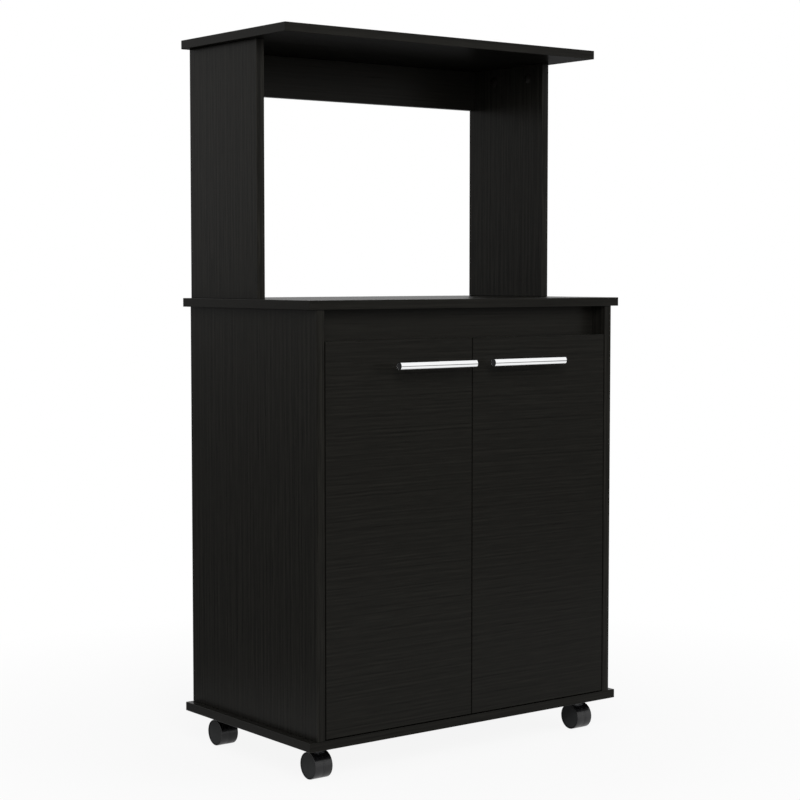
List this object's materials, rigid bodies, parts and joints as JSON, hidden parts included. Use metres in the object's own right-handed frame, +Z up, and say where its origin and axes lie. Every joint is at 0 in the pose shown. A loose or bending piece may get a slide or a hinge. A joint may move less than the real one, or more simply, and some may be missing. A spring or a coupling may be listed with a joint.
{
  "type": "microwave cabinet",
  "caption": "Kitchen cabinet on casters: open microwave bay under a top shelf, over a cupboard with two inset doors on concealed hinges.",
  "frame": {"origin": "on the floor under the middle of the whole cabinet, handles included", "axes": "+X to the cabinet's right as seen from its front, +Y to the back, +Z up"},
  "size_m": [0.67, 0.421, 1.224],
  "materials": {
    "wenge_board": "melamine faced chipboard, dark wenge grain, satin",
    "hardboard": "bare hardboard, matt",
    "beech": "fluted beech dowel",
    "chrome": "polished chrome plate",
    "zinc_steel": "zinc plated steel",
    "nickel_steel": "nickel plated steel",
    "ferrite": "pressed ferrite, matt",
    "black_plastic": "black moulded plastic, satin",
    "wheel_nylon": "black nylon wheel, glossy tread"
  },
  "bodies": {
    "cabinet": {"base_board": "wenge_board", "left_side_panel": "wenge_board", "right_side_panel": "wenge_board", "worktop": "wenge_board", "front_rail": "wenge_board", "back_panel": "hardboard", "inner_shelf": "wenge_board", "left_post": "wenge_board", "right_post": "wenge_board", "top_shelf": "wenge_board", "apron_rail": "wenge_board", "panel_screws": "zinc_steel", "cam_locks": "zinc_steel", "cam_covers": "black_plastic", "cam_bolts": "nickel_steel", "dowels": "beech", "shelf_pins": "nickel_steel", "catch_housings": "black_plastic", "catch_magnets": "ferrite", "catch_screws": "zinc_steel", "hinge_plates": "nickel_steel", "hinge_arms": "nickel_steel", "hinge_screws": "nickel_steel", "caster_plates": "zinc_steel", "caster_plate_screws": "zinc_steel", "caster_kingpins": "zinc_steel"},
    "left_door": {"left_door": "wenge_board", "left_handle_bar": "chrome", "left_handle_posts": "chrome", "left_handle_end_plugs": "black_plastic", "left_handle_screws": "zinc_steel", "left_hinge_cups": "nickel_steel", "left_hinge_cup_screws": "nickel_steel", "left_catch_strike": "zinc_steel"},
    "left_hinge_link": {"left_hinge_links": "nickel_steel"},
    "right_door": {"right_door": "wenge_board", "right_handle_bar": "chrome", "right_handle_posts": "chrome", "right_handle_end_plugs": "black_plastic", "right_handle_screws": "zinc_steel", "right_hinge_cups": "nickel_steel", "right_hinge_cup_screws": "nickel_steel", "right_catch_strike": "zinc_steel"},
    "right_hinge_link": {"right_hinge_links": "nickel_steel"},
    "front_left_caster": {"front_left_caster_frame": "black_plastic", "front_left_caster_axle": "zinc_steel"},
    "front_left_outer_wheel": {"front_left_outer_wheel": "wheel_nylon"},
    "front_left_inner_wheel": {"front_left_inner_wheel": "wheel_nylon"},
    "front_right_caster": {"front_right_caster_frame": "black_plastic", "front_right_caster_axle": "zinc_steel"},
    "front_right_outer_wheel": {"front_right_outer_wheel": "wheel_nylon"},
    "front_right_inner_wheel": {"front_right_inner_wheel": "wheel_nylon"},
    "rear_left_caster": {"rear_left_caster_frame": "black_plastic", "rear_left_caster_axle": "zinc_steel"},
    "rear_left_outer_wheel": {"rear_left_outer_wheel": "wheel_nylon"},
    "rear_left_inner_wheel": {"rear_left_inner_wheel": "wheel_nylon"},
    "rear_right_caster": {"rear_right_caster_frame": "black_plastic", "rear_right_caster_axle": "zinc_steel"},
    "rear_right_outer_wheel": {"rear_right_outer_wheel": "wheel_nylon"},
    "rear_right_inner_wheel": {"rear_right_inner_wheel": "wheel_nylon"}
  },
  "joints": [
    {"name": "left_door_hinge", "type": "hinge", "parent": "cabinet", "child": "left_door", "pos_m": [-0.3014, -0.1725, 0.39575], "axis": [0, 0, -1], "range_deg": [0, 100]},
    {"name": "left_link_pivot", "type": "hinge", "parent": "left_door", "child": "left_hinge_link", "pos_m": [-0.2947, -0.1585, 0.39575], "axis": [0, 0, 1], "range_deg": [0, 179.61]},
    {"name": "right_door_hinge", "type": "hinge", "parent": "cabinet", "child": "right_door", "pos_m": [0.3014, -0.1725, 0.39575], "axis": [0, 0, 1], "range_deg": [0, 100]},
    {"name": "right_link_pivot", "type": "hinge", "parent": "right_door", "child": "right_hinge_link", "pos_m": [0.2947, -0.1585, 0.39575], "axis": [0, 0, -1], "range_deg": [0, 179.61]},
    {"name": "front_left_caster_swivel", "type": "hinge", "parent": "cabinet", "child": "front_left_caster", "pos_m": [-0.288, -0.1105, 0.05], "axis": [0, 0, 1], "continuous": true},
    {"name": "front_left_outer_wheel_spin", "type": "hinge", "parent": "front_left_caster", "child": "front_left_outer_wheel", "pos_m": [-0.288, -0.1225, 0.0225], "axis": [1, 0, 0], "continuous": true},
    {"name": "front_left_inner_wheel_spin", "type": "hinge", "parent": "front_left_caster", "child": "front_left_inner_wheel", "pos_m": [-0.288, -0.1225, 0.0225], "axis": [1, 0, 0], "continuous": true},
    {"name": "front_right_caster_swivel", "type": "hinge", "parent": "cabinet", "child": "front_right_caster", "pos_m": [0.288, -0.1105, 0.05], "axis": [0, 0, 1], "continuous": true},
    {"name": "front_right_outer_wheel_spin", "type": "hinge", "parent": "front_right_caster", "child": "front_right_outer_wheel", "pos_m": [0.288, -0.1225, 0.0225], "axis": [1, 0, 0], "continuous": true},
    {"name": "front_right_inner_wheel_spin", "type": "hinge", "parent": "front_right_caster", "child": "front_right_inner_wheel", "pos_m": [0.288, -0.1225, 0.0225], "axis": [1, 0, 0], "continuous": true},
    {"name": "rear_left_caster_swivel", "type": "hinge", "parent": "cabinet", "child": "rear_left_caster", "pos_m": [-0.288, 0.1755, 0.05], "axis": [0, 0, 1], "continuous": true},
    {"name": "rear_left_outer_wheel_spin", "type": "hinge", "parent": "rear_left_caster", "child": "rear_left_outer_wheel", "pos_m": [-0.288, 0.1635, 0.0225], "axis": [1, 0, 0], "continuous": true},
    {"name": "rear_left_inner_wheel_spin", "type": "hinge", "parent": "rear_left_caster", "child": "rear_left_inner_wheel", "pos_m": [-0.288, 0.1635, 0.0225], "axis": [1, 0, 0], "continuous": true},
    {"name": "rear_right_caster_swivel", "type": "hinge", "parent": "cabinet", "child": "rear_right_caster", "pos_m": [0.288, 0.1755, 0.05], "axis": [0, 0, 1], "continuous": true},
    {"name": "rear_right_outer_wheel_spin", "type": "hinge", "parent": "rear_right_caster", "child": "rear_right_outer_wheel", "pos_m": [0.288, 0.1635, 0.0225], "axis": [1, 0, 0], "continuous": true},
    {"name": "rear_right_inner_wheel_spin", "type": "hinge", "parent": "rear_right_caster", "child": "rear_right_inner_wheel", "pos_m": [0.288, 0.1635, 0.0225], "axis": [1, 0, 0], "continuous": true}
  ],
  "couplings": [
    {"joint": "left_link_pivot", "follows": "left_door_hinge", "ratio": 1.7861},
    {"joint": "right_link_pivot", "follows": "right_door_hinge", "ratio": 1.7861}
  ]
}
